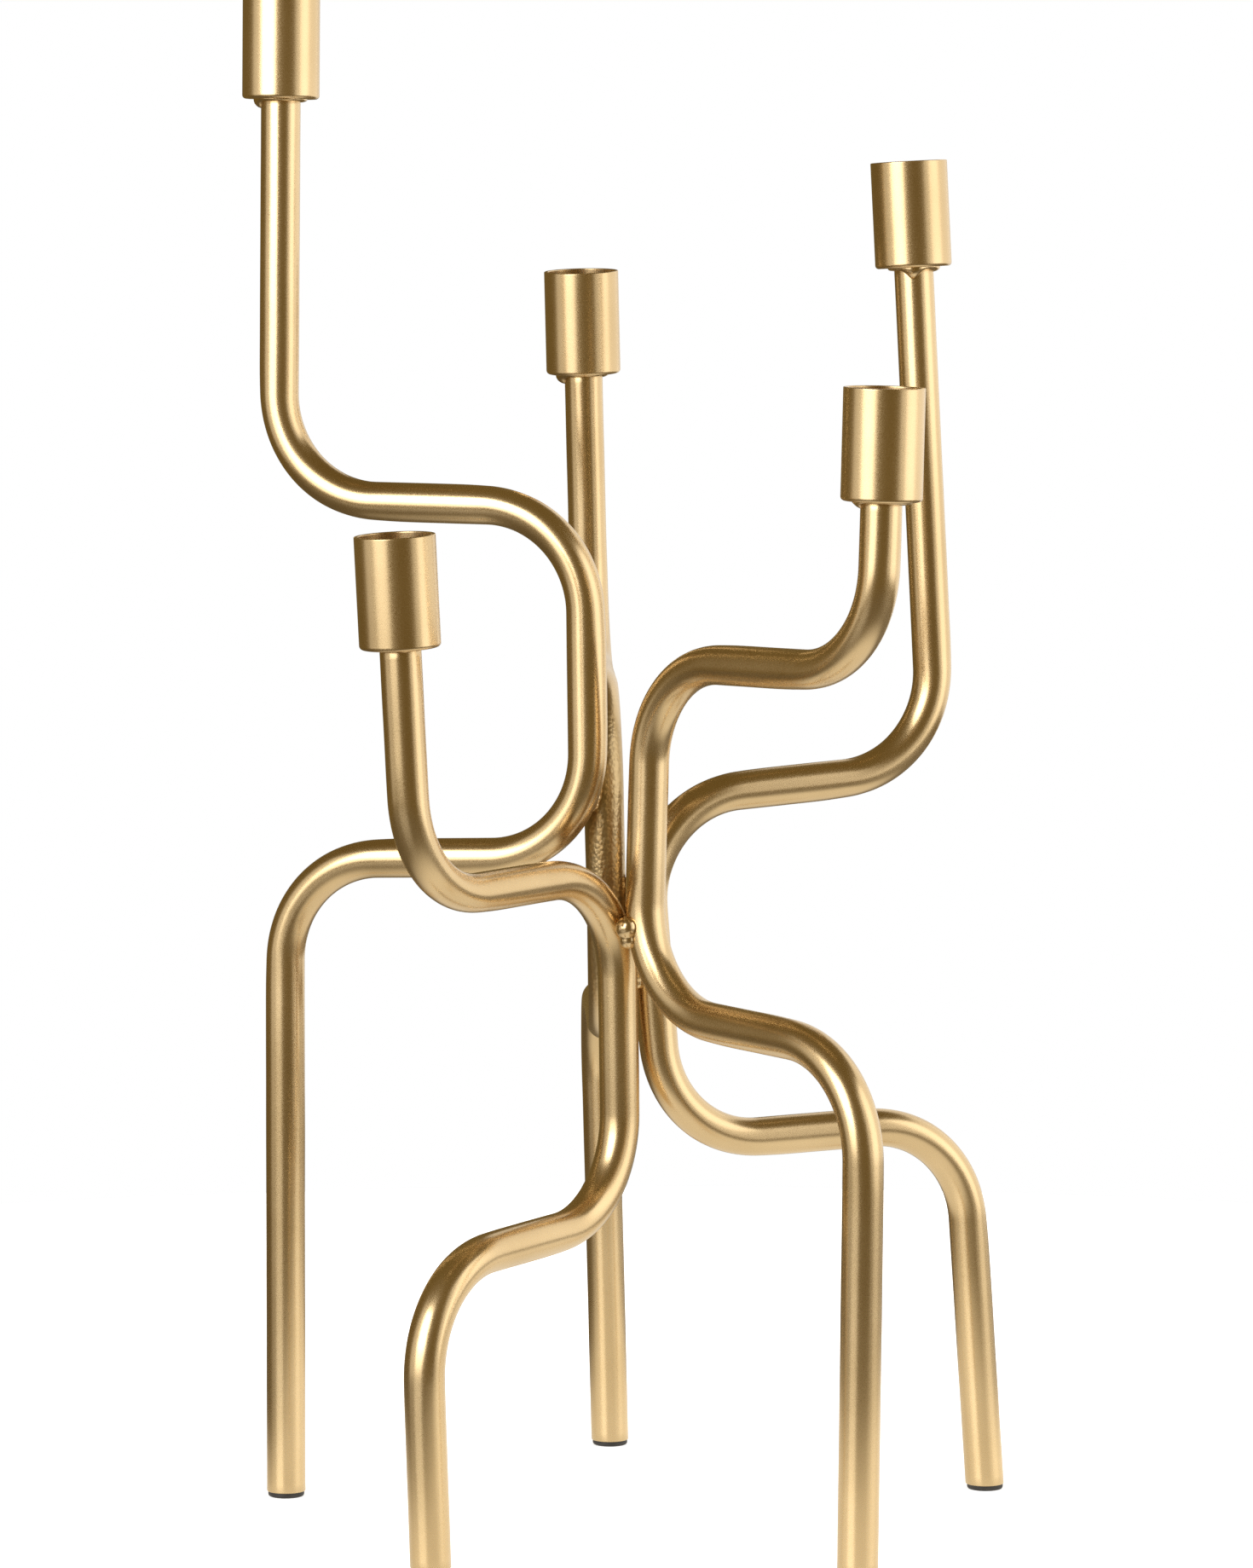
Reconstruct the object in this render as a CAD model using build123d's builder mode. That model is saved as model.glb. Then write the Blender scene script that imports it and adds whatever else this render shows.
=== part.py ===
"""Five-arm tabletop candelabra, in millimetres, +Z up, standing on the plane Z = 0.

Five steel tubes are each bent four times in one upright plane: up from the foot, in to
the middle, up beside the other tubes, out again, and up to a candle cup.  The middle
stretches stand side by side and are welded where two tubes come closest.
"""
import os
from dataclasses import dataclass
from math import cos, radians, sin, tan

from build123d import *

# ---- driving dimensions ------------------------------------------------------------
TUBE_OD = 13.0
TUBE_WALL = 1.2
BEND_RADIUS = 35.0        # centre line of every bend
RUN = 108.5               # corner to corner, from the middle out to the leg or the top
RISE = 114.0              # corner to corner, from the lower run up to the upper run
SWAY_HEIGHT = 150.0       # height at which a swaying arm crosses its own plane's middle

CUP_OD = 25.4             # one inch stock
CUP_BORE = 22.6           # takes a standard 22 mm taper candle
CUP_HEIGHT = 35.0
CUP_FLOOR = 2.0
CUP_BASE_ROUND = 1.2
CUP_RIM_ROUND = 0.3
CUP_CORNER_ROUND = 0.8    # inside, where the bore meets the floor

FOOT_HEIGHT = 1.8         # what shows of a foot plug below the tube
FOOT_HEAD_OD = 12.2
FOOT_EDGE_ROUND = 0.9
FOOT_STEM = 13.0          # length of the plug inside the tube
FOOT_STEM_OD = 8.6
FOOT_RIB_OD = TUBE_OD - 2 * TUBE_WALL - 0.1
FOOT_RIB = 1.2
FOOT_RIB_PITCH = 3.6
FOOT_RIBS = 3

CUP_BEAD_WIDTH = 1.7      # fillet weld between a tube and the underside of its cup
CUP_BEAD_HEIGHT = 1.6
CUP_BEAD_CROWN = 0.15     # how far the weld's face stands out of flat
WELD_CLEARANCE = 0.03     # keeps weld metal and tube wall as two separate surfaces

# Moves the bundle so that the whole object's box is centred on the origin.
BUNDLE_X = -2.6
BUNDLE_Y = -12.5


@dataclass
class Arm:
    """One bent tube.  Lengths in millimetres, angles in degrees."""

    name: str
    azimuth: float        # direction of its leg from the middle, from +X towards +Y
    offset: float         # how far its plane stands beside the middle
    sway: float           # sideways lean of its plane
    reach: float          # distance of its middle stretch from the bundle's axis
    middle: float         # height of the centre of its middle stretch
    top: float            # height of the end of the tube, under the cup
    leg_splay: float      # foot outward
    low_climb: float      # the lower run climbs as it goes out
    middle_lean: float    # outward as it goes up
    high_climb: float     # the upper run climbs as it goes out
    top_lean: float       # outward as it goes up


ARMS = [
    Arm("back_left", 159.5, 3.7, 0.8, 9.6, 276.0, 466.3, 0.5, -2.0, 0.5, 1.0, -1.0),
    Arm("front_left", 234.5, 0.0, 0.0, 1.0, 158.0, 292.1, -3.0, -2.5, 1.5, -1.5, 4.5),
    Arm("front_right", 309.5, 0.0, -0.5, 14.3, 227.0, 337.5, -1.5, -2.5, 3.0, 0.0, 2.6),
    Arm("back_right", 23.0, 1.8, 0.5, 12.4, 180.0, 411.3, 4.0, 1.5, -4.5, 4.0, -3.0),
    Arm("back", 92.1, 2.8, 1.5, 12.4, 213.7, 376.2, 3.0, 4.5, -3.5, 4.0, -5.0),
]


@dataclass
class Weld:
    """One lump of weld metal in the groove between two tubes."""

    name: str
    arms: tuple           # the two tubes that it joins
    side: tuple           # the side of the pair that it lies on, as (x, y)
    girth: float
    length: float
    stand_off: float      # from the middle of the gap, towards its side


WELDS = [
    Weld("front", ("front_left", "front_right"), (0.0, -1.0), 6.6, 7.4, 4.2),
    Weld("left", ("back", "front_left"), (-1.0, 0.2), 6.8, 14.0, 1.8),
    Weld("back_left", ("back_left", "back"), (0.3, -1.0), 5.6, 14.0, 3.8),
    Weld("right", ("front_left", "back_right"), (1.0, -0.6), 5.6, 14.0, 3.6),
    Weld("back_right", ("back_right", "back"), (0.5, 1.0), 6.0, 14.0, 3.8),
]


# ---- the shared geometry of one arm -------------------------------------------------
def direction(angle):
    """A unit step in an arm's plane, at an angle above straight out."""
    return Vector(cos(radians(angle)), sin(radians(angle)))


def arm_plane(arm):
    """The upright plane that an arm is bent in: X goes outward, Y goes up."""
    outward = direction(arm.azimuth)
    beside = Vector(-outward.Y, outward.X)
    up = Vector(0, 0, 1)
    sway = radians(arm.sway)
    axle = Vector(BUNDLE_X, BUNDLE_Y, SWAY_HEIGHT)
    return Plane(
        origin=axle + beside * arm.offset,
        x_dir=outward,
        z_dir=up * sin(sway) - beside * cos(sway),
    )


def arm_corners(arm):
    """Foot, four corners and top of an arm's centre line, in its own plane."""
    centre = Vector(arm.reach, arm.middle - SWAY_HEIGHT)
    half_rise = direction(90 - arm.middle_lean) * (RISE / 2)
    low_in = centre - half_rise
    high_in = centre + half_rise
    low_out = low_in + direction(arm.low_climb) * RUN
    high_out = high_in + direction(arm.high_climb) * RUN
    leg = low_out.Y + SWAY_HEIGHT
    foot = Vector(low_out.X + leg * tan(radians(arm.leg_splay)), -SWAY_HEIGHT)
    rest = arm.top - SWAY_HEIGHT - high_out.Y
    tip = Vector(high_out.X + rest * tan(radians(arm.top_lean)), high_out.Y + rest)
    return [foot, low_out, low_in, high_in, high_out, tip]


def arm_route(arm):
    """The centre line of an arm, from foot to top."""
    with BuildLine(arm_plane(arm)) as route:
        FilletPolyline(*[(p.X, p.Y) for p in arm_corners(arm)], radius=BEND_RADIUS)
    return route.wires()[0]


def cup_seat(arm, route):
    """The plane across the top end of an arm, which its cup stands on."""
    return Plane(origin=route @ 1, x_dir=arm_plane(arm).z_dir, z_dir=route % 1)


def profile_plane(seat):
    """The plane through a cup's axis, with that axis as its own Y."""
    return Plane(origin=seat.origin, x_dir=seat.x_dir, z_dir=-seat.y_dir)


def shaft_of(seat):
    """The axis of a cup, for a revolve."""
    return Axis(seat.origin, seat.z_dir)


# ---- the pieces -----------------------------------------------------------------------
def bent_tube(route):
    """The hollow tube, cut level above its foot plug."""
    with BuildPart() as tube:
        with BuildSketch(Plane(origin=route @ 0, z_dir=route % 0)):
            Circle(TUBE_OD / 2)
            Circle(TUBE_OD / 2 - TUBE_WALL, mode=Mode.SUBTRACT)
        sweep(path=route)
        split(bisect_by=Plane.XY.offset(FOOT_HEIGHT), keep=Keep.TOP)
    return tube


def solid_rod(route):
    """The space that a tube fills, used to trim the welds against it."""
    with BuildPart() as rod:
        with BuildSketch(Plane(origin=route @ 0, z_dir=route % 0)):
            Circle(TUBE_OD / 2 + WELD_CLEARANCE)
        sweep(path=route)
    return rod.part


def candle_cup(seat):
    """A turned cup with a closed floor, its base on the end of the tube."""
    outside = CUP_OD / 2
    inside = CUP_BORE / 2
    outline = [
        (0, 0),
        (outside, 0),
        (outside, CUP_HEIGHT),
        (inside, CUP_HEIGHT),
        (inside, CUP_FLOOR),
        (0, CUP_FLOOR),
    ]
    rounds = [0, CUP_BASE_ROUND, CUP_RIM_ROUND, CUP_RIM_ROUND, CUP_CORNER_ROUND, 0]
    with BuildPart() as cup:
        with BuildSketch(profile_plane(seat)):
            with BuildLine():
                FilletPolyline(*outline, radius=rounds, close=True)
            make_face()
        revolve(axis=shaft_of(seat))
    return cup


def cup_bead(seat):
    """The ring of weld metal under a cup, round the tube."""
    inner = TUBE_OD / 2
    outer = inner + CUP_BEAD_WIDTH
    crown = (inner + CUP_BEAD_WIDTH / 2 + CUP_BEAD_CROWN, -CUP_BEAD_HEIGHT / 2 - CUP_BEAD_CROWN)
    with BuildPart() as bead:
        with BuildSketch(profile_plane(seat)):
            with BuildLine():
                Polyline((outer, 0), (inner, 0), (inner, -CUP_BEAD_HEIGHT))
                ThreePointArc((inner, -CUP_BEAD_HEIGHT), crown, (outer, 0))
            make_face()
        revolve(axis=shaft_of(seat))
    return bead


def foot_plug(foot, leg_direction):
    """A push-in plug: a level head on the table and a ribbed stem up the tube."""
    foot = Vector(foot.X, foot.Y, 0)
    stem_start = foot + leg_direction * (FOOT_HEIGHT / 2)
    with BuildPart() as plug:
        with BuildSketch(Plane(origin=foot)):
            Circle(FOOT_HEAD_OD / 2)
        extrude(amount=FOOT_HEIGHT)
        fillet(plug.edges().group_by(Axis.Z)[0], radius=FOOT_EDGE_ROUND)
        with BuildSketch(Plane(origin=stem_start, z_dir=leg_direction)):
            Circle(FOOT_STEM_OD / 2)
        extrude(amount=FOOT_HEIGHT / 2 + FOOT_STEM)
        for rib in range(1, FOOT_RIBS + 1):
            rib_start = foot + leg_direction * (FOOT_HEIGHT + rib * FOOT_RIB_PITCH)
            with BuildSketch(Plane(origin=rib_start, z_dir=leg_direction)):
                Circle(FOOT_RIB_OD / 2)
            extrude(amount=FOOT_RIB)
    return plug


def groove_weld(weld, routes, rods):
    """A lump of weld metal where two tubes come closest, cut to meet both of them."""
    first, second = weld.arms
    near, far = routes[first].closest_points(routes[second])
    joining = (far - near).normalized()
    towards = Vector(*weld.side, 0)
    side = (towards - joining * towards.dot(joining)).normalized()
    middle = (near + far) * 0.5 + side * weld.stand_off
    frame = Plane(origin=middle, x_dir=joining.cross(side), z_dir=side)
    radius = weld.girth / 2
    straight = weld.length / 2 - radius
    with BuildPart() as lump:
        with BuildSketch(frame):
            with BuildLine():
                Line((-straight - radius, 0), (straight + radius, 0))
                CenterArc((straight, 0), radius, 0, 90)
                Line((straight, radius), (-straight, radius))
                CenterArc((-straight, 0), radius, 90, 90)
            make_face()
        revolve(axis=Axis(middle, frame.x_dir))
        add(rods[first], mode=Mode.SUBTRACT)
        add(rods[second], mode=Mode.SUBTRACT)
    return lump


# ---- build and write --------------------------------------------------------------
def keep(builder, name):
    """Label a finished piece and write it as one STEP file."""
    builder.part.label = name
    export_step(builder.part, f"parts/{name}.step")


def main():
    os.makedirs("parts", exist_ok=True)
    routes = {arm.name: arm_route(arm) for arm in ARMS}
    rods = {name: solid_rod(route) for name, route in routes.items()}
    for arm in ARMS:
        name = arm.name
        route = routes[name]
        seat = cup_seat(arm, route)
        keep(bent_tube(route), f"tube_{name}")
        keep(candle_cup(seat), f"candle_cup_{name}")
        keep(cup_bead(seat), f"cup_weld_{name}")
        keep(foot_plug(route @ 0, route % 0), f"foot_plug_{name}")
        print(name, "tube length", round(route.length, 1), "foot", route @ 0, "top", route @ 1)
    for weld in WELDS:
        keep(groove_weld(weld, routes, rods), f"centre_weld_{weld.name}")


main()
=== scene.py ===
# %% [markdown]
# # A five-arm candelabra in satin gold paint
#
# The real object is made from five steel tubes.  Each is bent four times in one upright
# plane, the tubes stand side by side in the middle, and a welder joins them there.  A
# turned cup is welded on top of every tube, the whole frame is sprayed with a satin gold
# paint, and a black plastic plug is pushed into the foot of every leg.
#
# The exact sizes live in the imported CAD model.  This lesson loads that model as a fixed
# frame and builds a finer piece over every CAD part: tubes that flatten where they bend,
# hand-made weld beads, crisp cups and moulded plugs.  Lengths are in metres unless a
# comment says millimetres.

# %% Load the frame and keep its box
import math
from collections import defaultdict
from types import SimpleNamespace

import bmesh
import bpy
import numpy as np
from mathutils import Matrix, Vector, noise


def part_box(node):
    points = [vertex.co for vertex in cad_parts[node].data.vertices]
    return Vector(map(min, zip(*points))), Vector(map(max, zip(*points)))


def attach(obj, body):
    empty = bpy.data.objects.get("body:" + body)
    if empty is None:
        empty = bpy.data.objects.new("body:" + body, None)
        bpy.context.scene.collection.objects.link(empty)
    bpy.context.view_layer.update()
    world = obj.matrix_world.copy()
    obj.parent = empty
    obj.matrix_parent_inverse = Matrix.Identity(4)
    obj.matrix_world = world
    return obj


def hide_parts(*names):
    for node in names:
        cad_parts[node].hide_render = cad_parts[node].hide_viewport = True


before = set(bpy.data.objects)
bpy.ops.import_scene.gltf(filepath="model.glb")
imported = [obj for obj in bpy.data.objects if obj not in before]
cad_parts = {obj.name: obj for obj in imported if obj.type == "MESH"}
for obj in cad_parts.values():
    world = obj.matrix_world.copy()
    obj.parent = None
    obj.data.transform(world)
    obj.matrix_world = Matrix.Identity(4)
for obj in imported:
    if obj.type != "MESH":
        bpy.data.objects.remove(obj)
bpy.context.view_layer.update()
MM = 0.001

# %% [markdown]
# ## The sizes a maker would order
#
# The candelabra is made from round steel tube, turned cups and moulded plugs, which all
# come in stock sizes.  The sizes could be measured from the CAD meshes, but a maker knows
# them by heart, so they are written here once and agree with the CAD model.  The places of
# the pieces are measured from the model further down.

# %% Stock sizes
TUBE_RADIUS = 6.5 * MM
TUBE_WALL = 1.2 * MM
BEND_RADIUS = 35.0 * MM
CUP_RADIUS = 12.7 * MM
CUP_BORE_RADIUS = 11.3 * MM
CUP_HEIGHT = 35.0 * MM
CUP_FLOOR = 2.0 * MM
FOOT_HEIGHT = 1.8 * MM
FOOT_HEAD_RADIUS = 6.1 * MM
ARMS = ["back_left", "front_left", "front_right", "back_right", "back"]
print(len(ARMS), "arms of", TUBE_RADIUS * 2, "m tube")

# %% [markdown]
# ## Measuring a tube's centre line
#
# A surface point of a round tube and the direction it faces tell where the middle is:
# step back by the tube's radius.  All the points of one ring step back to the same spot,
# so a spot that many surface points agree on lies on the centre line.  The long gaps
# between these spots are the straight runs, and two neighbouring runs, drawn on until
# they meet, give the corner that the bend rounds off.  The corners could be typed in, but
# measuring them keeps this lesson true to whatever model the frame holds.

# %% Find the spots on a centre line
SPOT_GRID = 0.2 * MM
SPOT_VOTES = 6


def centre_spots(node):
    """The points on a tube's axis that at least SPOT_VOTES of its surface points agree on."""
    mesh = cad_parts[node].data
    votes = defaultdict(dict)
    for loop, facing in zip(mesh.loops, mesh.corner_normals):
        place = mesh.vertices[loop.vertex_index].co
        middle = place - facing.vector * TUBE_RADIUS
        key = tuple(round(c / SPOT_GRID) for c in middle)
        votes[key][tuple(round(c / SPOT_GRID) for c in place)] = middle
    return [
        sum(found.values(), Vector()) / len(found)
        for found in votes.values()
        if len(found) >= SPOT_VOTES
    ]


print(len(centre_spots("tube_" + ARMS[0])), "centre spots on the", ARMS[0], "tube")

# %% Order the spots from foot to top and find the straight runs
SHORTEST_RUN = 10.0 * MM


def straight_runs(node):
    """The start and end of every straight run of a tube, from its foot upwards."""
    spots = centre_spots(node)
    here = min(spots, key=lambda p: p.z)
    runs = []
    while spots:
        spots = [p for p in spots if (p - here).length > SPOT_GRID * 3]
        if not spots:
            break
        nearest = min(spots, key=lambda p: (p - here).length)
        if (nearest - here).length > SHORTEST_RUN:
            runs.append((here, nearest))
        here = nearest
    return runs


def meeting_point(first, second):
    """Where two runs meet when they are drawn on, halfway between their nearest points."""
    a, b = first
    c, d = second
    u, v, w = (b - a), (d - c), (a - c)
    uu, uv, vv, uw, vw = u.dot(u), u.dot(v), v.dot(v), u.dot(w), v.dot(w)
    spread = uu * vv - uv * uv
    along_u = (uv * vw - vv * uw) / spread
    along_v = (uu * vw - uv * uw) / spread
    return (a + u * along_u + c + v * along_v) / 2


def tube_corners(node):
    """Foot, four corners and top of a tube's centre line."""
    runs = straight_runs(node)
    inner = [meeting_point(p, q) for p, q in zip(runs, runs[1:])]
    return [runs[0][0], *inner, runs[-1][1]]


corners = {arm: tube_corners("tube_" + arm) for arm in ARMS}
for arm, points in corners.items():
    print(arm, len(points), "points, foot", [round(c, 4) for c in points[0]], "top",
          [round(c, 4) for c in points[-1]])

# %% [markdown]
# ## Walking along the rounded centre line
#
# Every corner becomes an arc of one bend radius, as a pipe bender makes it.  The walk
# notes, at each step, where it is, which way it heads, and which way it is bending: -1 or
# +1 inside a bend, 0 on a straight run.  The bending amount is then smoothed along the
# walk, because a real tube starts to flatten a little before its bend.

# %% A walk along the centre line
STRAIGHT_STEP = 3.0 * MM
BEND_STEP = 1.4 * MM
FLATTEN_REACH = 8.0 * MM


def walk(points):
    """Places, headings and bending amounts along a rounded centre line."""
    side = (points[1] - points[0]).cross(points[2] - points[1]).normalized()
    places, headings, bends = [], [], []

    def step(place, heading, bend):
        places.append(place)
        headings.append(heading.normalized())
        bends.append(bend)

    here = points[0]
    for before, corner, after in zip(points, points[1:], points[2:]):
        way_in = (corner - before).normalized()
        way_out = (after - corner).normalized()
        turn = way_in.angle(way_out)
        axle = way_in.cross(way_out).normalized()
        setback = BEND_RADIUS * math.tan(turn / 2)
        start = corner - way_in * setback
        count = max(1, round((start - here).length / STRAIGHT_STEP))
        for i in range(count):
            step(here.lerp(start, i / count), way_in, 0.0)
        centre = start + axle.cross(way_in) * BEND_RADIUS
        bend_way = math.copysign(1, axle.dot(side))
        count = round(BEND_RADIUS * turn / BEND_STEP)
        for i in range(count):
            spin = Matrix.Rotation(turn * i / count, 3, axle)
            step(centre + spin @ (start - centre), spin @ way_in, bend_way)
        here = corner + way_out * setback
    heading = points[-1] - here
    count = max(1, round(heading.length / STRAIGHT_STEP))
    for i in range(count + 1):
        step(here.lerp(points[-1], i / count), heading, 0.0)

    gone = np.cumsum([0.0] + [(q - p).length for p, q in zip(places, places[1:])])
    weights = np.exp(-((gone[:, None] - gone[None, :]) / FLATTEN_REACH) ** 2)
    share = np.gradient(gone)
    amounts = (weights * share) @ np.array(bends) / (weights * share).sum(axis=1)
    return SimpleNamespace(side=side, places=places, headings=headings, bends=amounts,
                           length=float(gone[-1]))


walks = {arm: walk(points) for arm, points in corners.items()}
print({arm: round(walked.length, 4) for arm, walked in walks.items()}, "m of tube")

# %% [markdown]
# ## Sweeping the tube
#
# A cold-bent tube isn't round in its bends: the wall on the outside stretches and pulls
# in, and the two sides swell a little.  So each ring of the sweep starts as a circle, and
# its outer half is pressed in by the bending amount.  A faint unevenness, a few
# hundredths of a millimetre high, makes the reflections waver as they do on real tube.
# A curve with a round bevel would sweep the tube faster, but it can't flatten in the
# bends.  The tube is hollow, with a softened rim at both ends, so that its mesh is a
# closed wall.

# %% One ring of the tube
AROUND = 48
OUTSIDE_PRESS = 0.09
SIDE_SWELL = 0.02
UNEVEN_HEIGHT = 0.045 * MM
UNEVEN_SCALE = 55.0
RIM_ROUND = 0.25 * MM


def ring(place, heading, side, bend, radius, uneven=True):
    """The points of one ring of tube wall."""
    inward = side.cross(heading)
    points = []
    for k in range(AROUND):
        angle = 2 * math.pi * k / AROUND
        over, across = math.cos(angle), math.sin(angle)
        if over * bend < 0:
            over *= 1 - OUTSIDE_PRESS * abs(bend)
        across *= 1 + SIDE_SWELL * abs(bend)
        out = inward * over + side * across
        point = place + out * radius
        if uneven:
            point += out * noise.noise(point * UNEVEN_SCALE) * UNEVEN_HEIGHT
        points.append(point)
    return points


print("a full bend presses the outer wall in by", round(TUBE_RADIUS * OUTSIDE_PRESS, 6), "m")

# %% Rings into a closed wall
def bridge(mesh, lower, upper):
    """Faces between two rings of vertices."""
    count = len(lower)
    for k in range(count):
        after = (k + 1) % count
        mesh.faces.new((lower[k], lower[after], upper[after], upper[k]))


def new_piece(name, mesh, finish, slot, *nodes):
    """A finished bmesh as one smooth piece that stands for its CAD nodes."""
    bmesh.ops.recalc_face_normals(mesh, faces=mesh.faces)
    data = bpy.data.meshes.new(name)
    mesh.to_mesh(data)
    mesh.free()
    data.polygons.foreach_set("use_smooth", [True] * len(data.polygons))
    data.materials.append(finish)
    piece = bpy.data.objects.new(name, data)
    bpy.context.scene.collection.objects.link(piece)
    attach(piece, "root")
    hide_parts(*nodes)
    return piece


def closed_wall(rings):
    """A bmesh of rings joined one after another, the last one back to the first."""
    mesh = bmesh.new()
    loops = [[mesh.verts.new(p) for p in points] for points in rings]
    for lower, upper in zip(loops, loops[1:] + loops[:1]):
        bridge(mesh, lower, upper)
    return mesh


print("mesh helpers: bridge, new_piece and closed_wall")

# %% The whole tube
INNER_EVERY = 4
RIM_CLEARANCE = 2.0 * MM
# Steps over a rim: how far from the end and how far in, as shares of RIM_ROUND.
SOFT_RIM = [(1.0, 0.0), (0.3, 0.3), (0.0, 1.0)]


def levelled(points, leg, height):
    """A ring's points slid along the leg until they lie at one height."""
    return [p + leg * ((height - p.z) / leg.z) for p in points]


def tube_rings(arm):
    """The rings of a tube: up the outside, over the top rim, and down the bore."""
    side, places, headings = walks[arm].side, walks[arm].places, walks[arm].headings
    leg, top = headings[0], headings[-1]
    bore = TUBE_RADIUS - TUBE_WALL
    foot_rim = [
        levelled(ring(places[0], leg, side, 0.0, TUBE_RADIUS - RIM_ROUND * shrink, False),
                 leg, FOOT_HEIGHT + RIM_ROUND * lift)
        for lift, shrink in reversed(SOFT_RIM)
    ]
    top_rim = [
        ring(places[-1] - top * RIM_ROUND * lift, top, side, 0.0,
             TUBE_RADIUS - RIM_ROUND * shrink, False)
        for lift, shrink in SOFT_RIM
    ]
    steps = zip(places, headings, walks[arm].bends)
    steps = [s for s in steps if s[0].z > places[0].z + RIM_CLEARANCE][:-1]
    outside = [ring(p, h, side, b, TUBE_RADIUS) for p, h, b in steps]
    inside = [ring(p, h, side, b, bore, False) for p, h, b in steps[::INNER_EVERY]]
    foot_bore = levelled(ring(places[0], leg, side, 0.0, bore, False), leg, FOOT_HEIGHT)
    top_bore = ring(places[-1], top, side, 0.0, bore, False)
    return foot_rim + outside + top_rim + [top_bore] + inside[::-1] + [foot_bore]


print("one ring has", AROUND, "points; the bore takes one ring in", INNER_EVERY)

# %% [markdown]
# ## Turning round pieces on a lathe
#
# Cups and plugs are turned shapes: a profile goes round an axis.  The profile's corners
# are broken by small rounds, with a spare point just outside each round, so that the
# smooth shading stays in the round and the flats stay flat.  A cylinder with a bevel would
# do for the outside, but one profile gives wall, floor and rim as one closed mesh.

# %% A profile with rounded corners
ROUND_STEPS = 5
SPARE = 0.2 * MM


def rounded(corners_and_rounds):
    """A profile of (radius, height) points with each corner rounded."""
    pairs = [(Vector(p), r) for p, r in corners_and_rounds]
    profile = []
    for k, (corner, size) in enumerate(pairs):
        if size == 0:
            profile.append(corner)
            continue
        back = (pairs[k - 1][0] - corner).normalized()
        ahead = (pairs[(k + 1) % len(pairs)][0] - corner).normalized()
        reach = size / math.tan(back.angle(ahead) / 2)
        start, end = corner + back * reach, corner + ahead * reach
        centre = corner + (back + ahead).normalized() * math.hypot(size, reach)
        profile.append(start + back * SPARE)
        for i in range(ROUND_STEPS + 1):
            spoke = (start - centre).lerp(end - centre, i / ROUND_STEPS)
            profile.append(centre + spoke.normalized() * size)
        profile.append(end + ahead * SPARE)
    return profile


print("each rounded corner has", ROUND_STEPS + 3, "points")

# %% The lathe
ON_AXIS = 1e-7


def turned(mesh, profile, seat, segments):
    """Adds a turned shape to a bmesh.  A profile end on the axis closes to one point."""
    rings = []
    for radius, height in profile:
        if radius < ON_AXIS:
            rings.append([mesh.verts.new(seat @ Vector((0, 0, height)))])
            continue
        angles = [2 * math.pi * k / segments for k in range(segments)]
        rings.append([
            mesh.verts.new(seat @ Vector((radius * math.cos(a), radius * math.sin(a), height)))
            for a in angles
        ])
    for lower, upper in zip(rings, rings[1:] + ([] if len(rings[0]) == 1 else rings[:1])):
        if len(lower) == len(upper):
            bridge(mesh, lower, upper)
        else:
            tip, rim = (lower[0], upper) if len(lower) == 1 else (upper[0], lower)
            for k, vert in enumerate(rim):
                mesh.faces.new((tip, vert, rim[(k + 1) % len(rim)]))
    return mesh


def seat_at(place, axis):
    """A frame that stands at a place with its height along an axis."""
    return Matrix.Translation(place) @ axis.to_track_quat("Z", "Y").to_matrix().to_4x4()


def top_seat(arm):
    """Where a cup stands: the end of its tube."""
    return seat_at(corners[arm][-1], walks[arm].headings[-1])


for arm in ARMS:
    low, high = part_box("candle_cup_" + arm)
    middle = top_seat(arm) @ Vector((0, 0, CUP_HEIGHT / 2))
    print(arm, "cup is off its CAD place by", round(((low + high) / 2 - middle).length, 6), "m")

# %% [markdown]
# ## Cups
#
# Each cup is a plain turned cylinder with a thin wall, a flat floor, a soft lower edge
# and a crisp rim.  It is one turn of the lathe, seated on the end of its tube, so a cup
# leans exactly as its tube does.

# %% Cup shape
CUP_SEGMENTS = 112
CUP_PROFILE = [
    ((0, 0), 0),
    ((CUP_RADIUS, 0), 1.2 * MM),
    ((CUP_RADIUS, CUP_HEIGHT), 0.3 * MM),
    ((CUP_BORE_RADIUS, CUP_HEIGHT), 0.3 * MM),
    ((CUP_BORE_RADIUS, CUP_FLOOR), 0.8 * MM),
    ((0, CUP_FLOOR), 0),
]


def cup_mesh(arm):
    """A bmesh of one candle cup on its tube."""
    return turned(bmesh.new(), rounded(CUP_PROFILE), top_seat(arm), CUP_SEGMENTS)


print("cup", CUP_RADIUS * 2, "m across and", CUP_HEIGHT, "m high")

# %% [markdown]
# ## Weld beads under the cups
#
# The welder went once round every joint, and no two beads are alike: some are thin and
# even, some have run into a drip on one side.  A turned ring would look machine-made, so
# a bead is a fillet whose width and height change round the tube.  Each drip is a bump at
# one bearing, measured from the side that faces the viewer towards the right.  The bead
# starts a little inside the tube's wall and laps the cup's floor, so no gap shows.

# %% Bead shape
BEAD_SEGMENTS = 96
BEAD_STEPS = 7
BEAD_ROOT = 0.4 * MM
BEAD_LAP = 0.1 * MM
WANDER_SCALE = 2.1
WANDER_SHIFT = 0.7
WIDTH_WANDER = 0.22
HEIGHT_WANDER = 0.35
OUTWARD_CURVE = 1.3
DOWNWARD_CURVE = 0.8
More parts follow.
